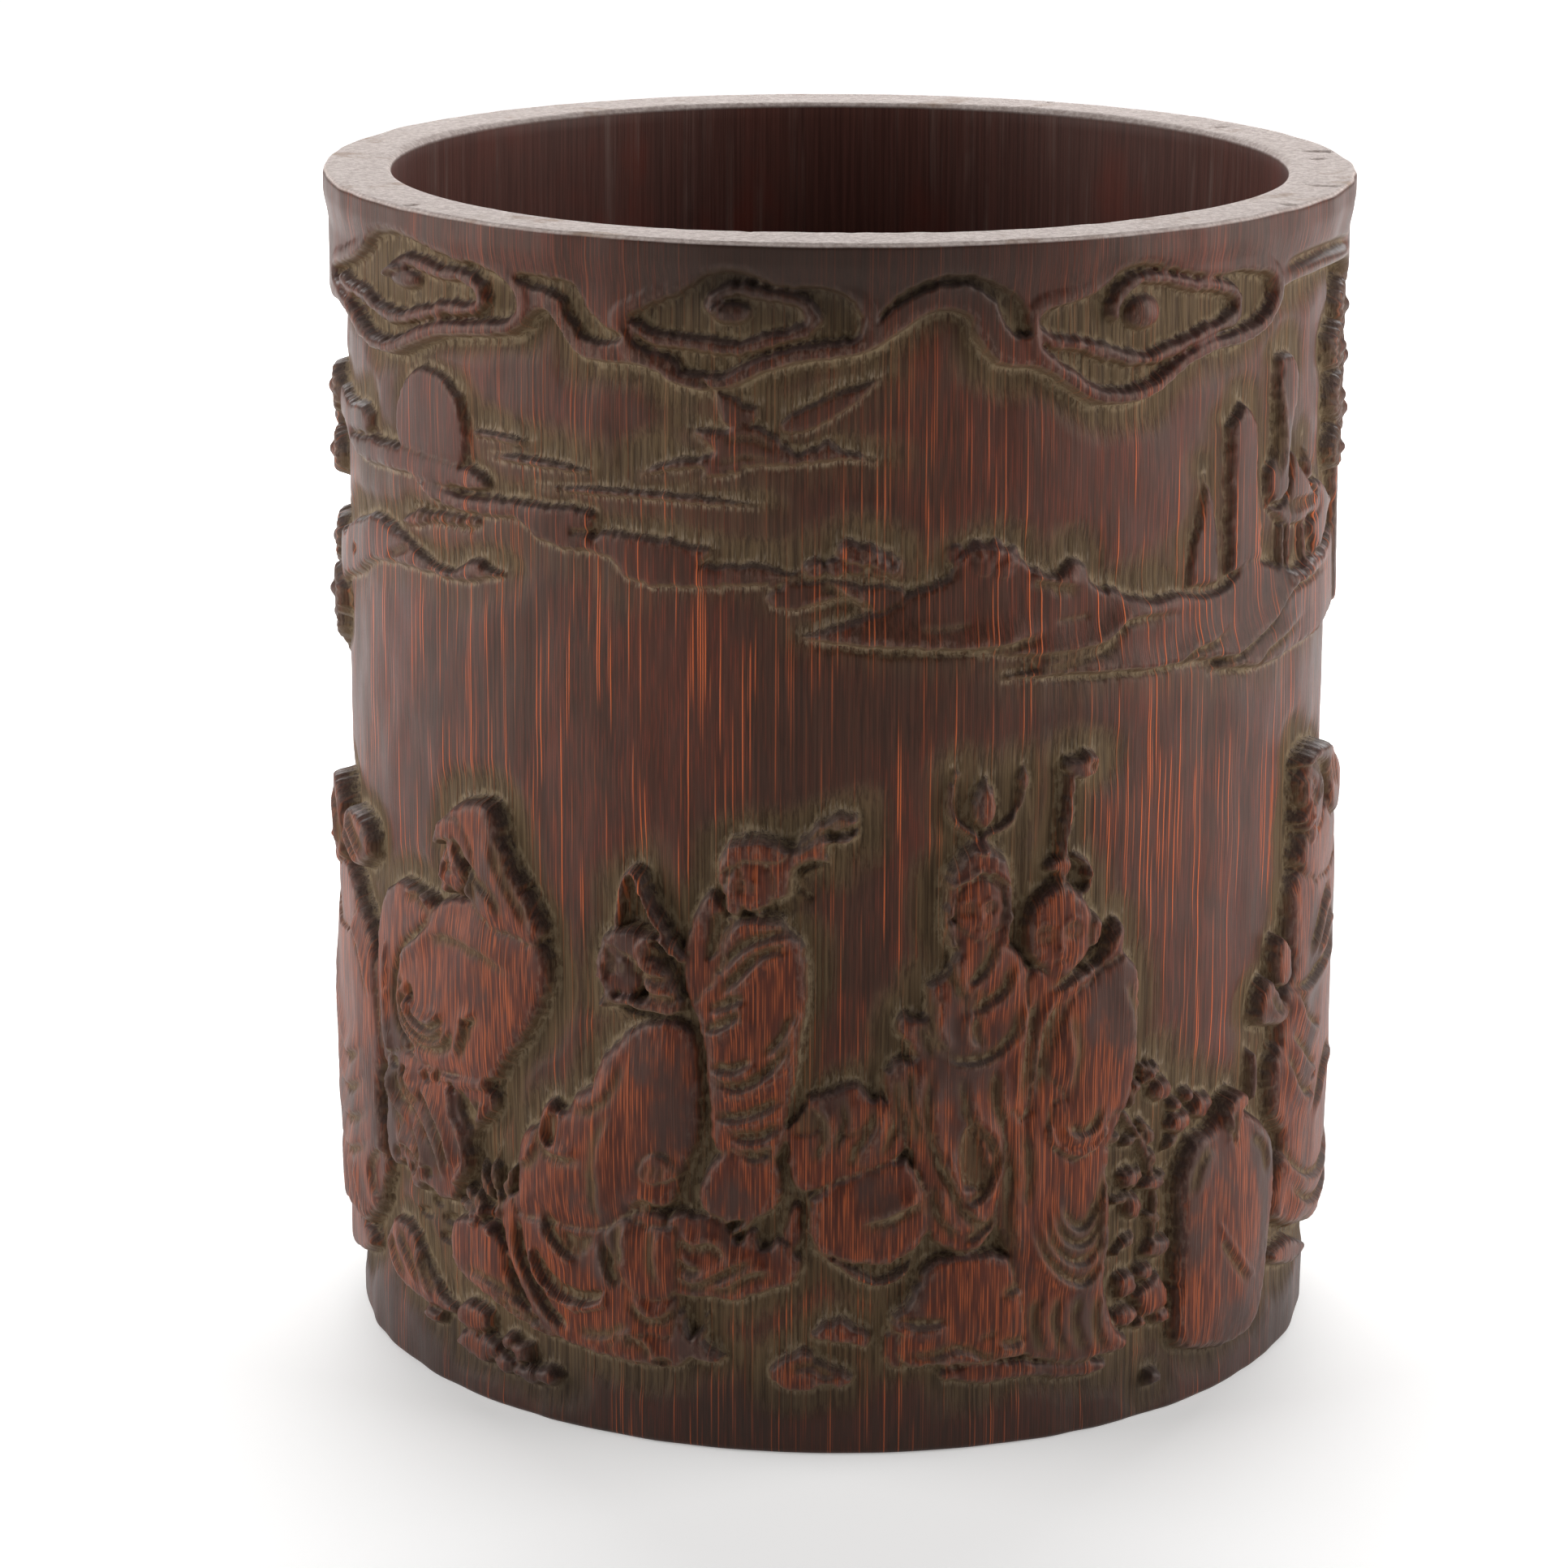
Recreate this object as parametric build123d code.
"""A carved bamboo brush pot, in millimetres.

The pot is one length of bamboo culm, carved in relief all round, with a round floor board
let into its foot from below and four small pegs driven up into the seam between the two.

Frame: the origin is the middle of the foot's resting plane, +Z runs up the culm's axis,
and -Y is the front of the carving.  A place on the carved wall is given as (arc, height):
arc is the distance round the ground cylinder from the front line, positive towards +X.
"""

import os
from math import degrees, sin

from build123d import *

os.makedirs("parts", exist_ok=True)

# ---- driving dimensions ----
HEIGHT = 150.0
RIM_RADIUS = 65.0
GROUND_RADIUS = 62.0  # the carved-down skin between the motifs
RELIEF_RADIUS = 64.5  # how far the motifs stand out
BORE_RADIUS = 56.5

RIM_DEPTH = 5.0  # height of the plain proud band below the lip
LIP_ROUNDING = 0.9
FOOT_ROUNDING = 0.8

FLOOR_THICKNESS = 8.0
FLOOR_RECESS = 1.0  # the floor board stands this far above the resting plane
FLOOR_CHAMFER = 0.5
REBATE_RADIUS = 58.5

PEG_RADIUS = 1.2
PEG_LENGTH = 6.0
PEG_COUNT = 4

# ---- cloud band under the rim: one lozenge for each crest, all alike ----
CREST_COUNT = 8
FIRST_CREST_ARC = -11.0
CREST_OUTLINE = [  # relative to the crest's own middle line
    (-24.5, 139), (-18, 134), (-8, 131.5), (0, 129.5), (9, 131), (18, 134.5), (24.5, 139),
    (18, 141), (6, 145), (-8, 145), (-18, 141),
]

# ---- carved masses: the plain body of each motif, as (arc, height) points ----
MASSES = {
    "moon": [(-63, 120), (-62, 125), (-56, 129), (-50, 127), (-47, 123), (-47, 120)],
    "long_cloud": [(-80, 118), (-72, 121), (-44, 118), (-28, 114), (-28, 112), (-56, 114)],
    "near_cloud": [(-80, 100), (-68, 107), (-42, 107), (-44, 104)],
    "crane": [(-20, 121), (-12, 131), (-4, 123), (5, 122), (-6, 119)],
    "ridge_near": [(-4, 102), (16, 112), (30, 107), (44, 103), (44, 96), (20, 98)],
    "ridge_far": [(44, 103), (62, 104), (82, 108), (90, 102), (80, 96), (62, 92), (44, 96)],
    "stele": [(51, 105), (51, 122), (54, 125), (58, 120), (59, 105)],
    "crag": [(60, 112), (61, 129), (65, 129), (67, 122), (64, 111)],
    "hooded_figure": [
        (-68, 30), (-66, 55), (-60, 63), (-52, 64), (-50, 76), (-42, 78), (-35, 60), (-42, 40),
        (-46, 28),
    ],
    "seated_figure": [
        (-51, 22), (-38, 38), (-28, 50), (-26, 70), (-20, 68), (-14, 50), (-12, 28), (-6, 24),
        (-12, 12), (-38, 12),
    ],
    "capped_figure": [(-14, 48), (-16, 68), (-12, 77), (-4, 78), (-4, 58), (-8, 46)],
    "drum": [(-2, 36), (5, 38), (10, 35), (10, 28), (4, 23), (-2, 28)],
    "crowned_figure": [(8, 34), (7, 50), (13, 60), (14, 76), (19, 76), (21, 60), (20, 34)],
    "monk": [(20, 11), (21, 42), (22, 68), (27, 71), (37, 60), (37, 44), (34, 30), (38, 12)],
    "bundle": [(44, 12), (45, 33), (54, 39), (62, 34), (64, 20), (61, 9), (50, 7)],
    "bending_figure": [
        (60, 48), (66, 60), (64, 72), (68, 79), (78, 77), (88, 66), (92, 48), (90, 20), (74, 18),
        (64, 36),
    ],
    "side_figure": [(-94, 14), (-95, 50), (-84, 62), (-74, 58), (-67, 44), (-69, 20), (-76, 12)],
    "right_pine": [(85, 114), (84, 134), (92, 138), (99, 130), (97, 114)],
    "far_hill": [(98, 96), (98, 104), (112, 108), (120, 118), (132, 110), (146, 104), (140, 97)],
    "garden_rock": [
        (106, 9), (106, 42), (110, 62), (118, 76), (125, 64), (130, 42), (130, 9),
    ],
    "staff_elder": [
        (143, 10), (143, 48), (148, 60), (147, 74), (154, 78), (157, 62), (163, 44), (164, 10),
    ],
    "scholar": [
        (162, 11), (168, 46), (172, 64), (178, 66), (184, 50), (192, 34), (190, 11),
    ],
    "stone_table": [
        (193, 10), (194, 28), (190, 33), (196, 46), (210, 46), (216, 33), (212, 28), (213, 10),
    ],
    "page_boy": [(221, 10), (218, 34), (222, 52), (231, 52), (235, 38), (235, 10)],
    "fan_bearer": [
        (243, 11), (235, 48), (247, 60), (246, 76), (254, 77), (257, 58), (259, 36), (260, 11),
    ],
    "fan": [(232, 78), (234, 86), (240, 88), (246, 84), (245, 72), (238, 70)],
    "pine_trunk": [
        (266, 9), (267, 30), (262, 52), (270, 80), (262, 112), (268, 112), (275, 84), (269, 54),
        (274, 30), (277, 9),
    ],
    "pine_left": [(252, 115), (254, 121), (264, 124), (268, 116), (262, 110)],
    "pine_right": [(270, 112), (272, 122), (286, 120), (296, 124), (290, 112)],
}


def arc_angle(arc):
    """Degrees round the ground cylinder for an arc length."""
    return degrees(arc / GROUND_RADIUS)


def upright_cylinder(radius):
    """A solid cylinder standing on the resting plane, as tall as the pot."""
    return Cylinder(radius, HEIGHT, align=(Align.CENTER, Align.CENTER, Align.MIN))


def carved_mass(outline, middle, shell):
    """The block that one motif fills between the bore's skin and the relief cylinder.

    The outline is laid square to the radius through the arc called middle, and its sides
    run parallel to that radius.
    """
    corners = [
        (GROUND_RADIUS * sin((arc - middle) / GROUND_RADIUS), height) for arc, height in outline
    ]
    face = make_face(Polyline(*corners, close=True))
    block = extrude(Plane.XZ * face, RELIEF_RADIUS + 5.0)
    return block.rotate(Axis.Z, arc_angle(middle)) & shell


def wall_section():
    """Half section of the culm wall, with its proud rim and the rebate for the floor board."""
    slope = RIM_RADIUS - GROUND_RADIUS
    rim_foot = HEIGHT - RIM_DEPTH
    rebate_top = FLOOR_RECESS + FLOOR_THICKNESS
    outline = Polyline(
        (REBATE_RADIUS, 0),
        (GROUND_RADIUS, 0),
        (GROUND_RADIUS, rim_foot - slope),
        (RIM_RADIUS, rim_foot),
        (RIM_RADIUS, HEIGHT),
        (BORE_RADIUS, HEIGHT),
        (BORE_RADIUS, rebate_top),
        (REBATE_RADIUS, rebate_top),
        close=True,
    )
    section = make_face(outline)
    corners = section.vertices()
    lip = corners.filter_by(lambda corner: abs(corner.Y - HEIGHT) < 0.01)
    section = fillet(lip, LIP_ROUNDING)
    corners = section.vertices()
    foot = corners.filter_by(lambda corner: corner.Y < 0.01 and corner.X > GROUND_RADIUS - 0.01)
    return fillet(foot, FOOT_ROUNDING)


def peg_places():
    """Foot of each peg's middle line, on the seam between the floor board and the wall."""
    turn = 360 / PEG_COUNT
    return [
        Rot(0, 0, turn * (number + 0.5)) * Pos(REBATE_RADIUS, 0, 0) for number in range(PEG_COUNT)
    ]


def peg_holes():
    """The pegs' holes, open at the resting plane."""
    depth = FLOOR_RECESS + PEG_LENGTH
    hole = Cylinder(PEG_RADIUS, depth, align=(Align.CENTER, Align.CENTER, Align.MIN))
    return [place * hole for place in peg_places()]


def culm_wall():
    """The carved length of culm: wall, rim, cloud band and the masses of the motifs."""
    wall = revolve(Plane.XZ * wall_section(), Axis.Z)
    shell = upright_cylinder(RELIEF_RADIUS) - upright_cylinder(BORE_RADIUS + 2.0)
    spacing = 360 / CREST_COUNT
    crest = carved_mass(CREST_OUTLINE, 0.0, shell)
    start = arc_angle(FIRST_CREST_ARC)
    for number in range(CREST_COUNT):
        wall += crest.rotate(Axis.Z, start + number * spacing)
    for outline in MASSES.values():
        arcs = [arc for arc, height in outline]
        wall += carved_mass(outline, (min(arcs) + max(arcs)) / 2, shell)
    return wall - peg_holes()


def floor_board():
    """The round board that closes the foot, let in from below against the rebate."""
    board = Cylinder(
        REBATE_RADIUS, FLOOR_THICKNESS, align=(Align.CENTER, Align.CENTER, Align.MIN)
    )
    board = chamfer(board.faces().sort_by(Axis.Z)[0].edges(), FLOOR_CHAMFER)
    return Pos(0, 0, FLOOR_RECESS) * board - peg_holes()


def seam_pegs():
    """Small round pegs, half in the wall and half in the board, as one group."""
    peg = Cylinder(PEG_RADIUS, PEG_LENGTH, align=(Align.CENTER, Align.CENTER, Align.MIN))
    return Compound([place * Pos(0, 0, FLOOR_RECESS) * peg for place in peg_places()])


export_step(culm_wall(), "parts/culm_wall.step")
export_step(floor_board(), "parts/floor_board.step")
export_step(seam_pegs(), "parts/seam_pegs.step")
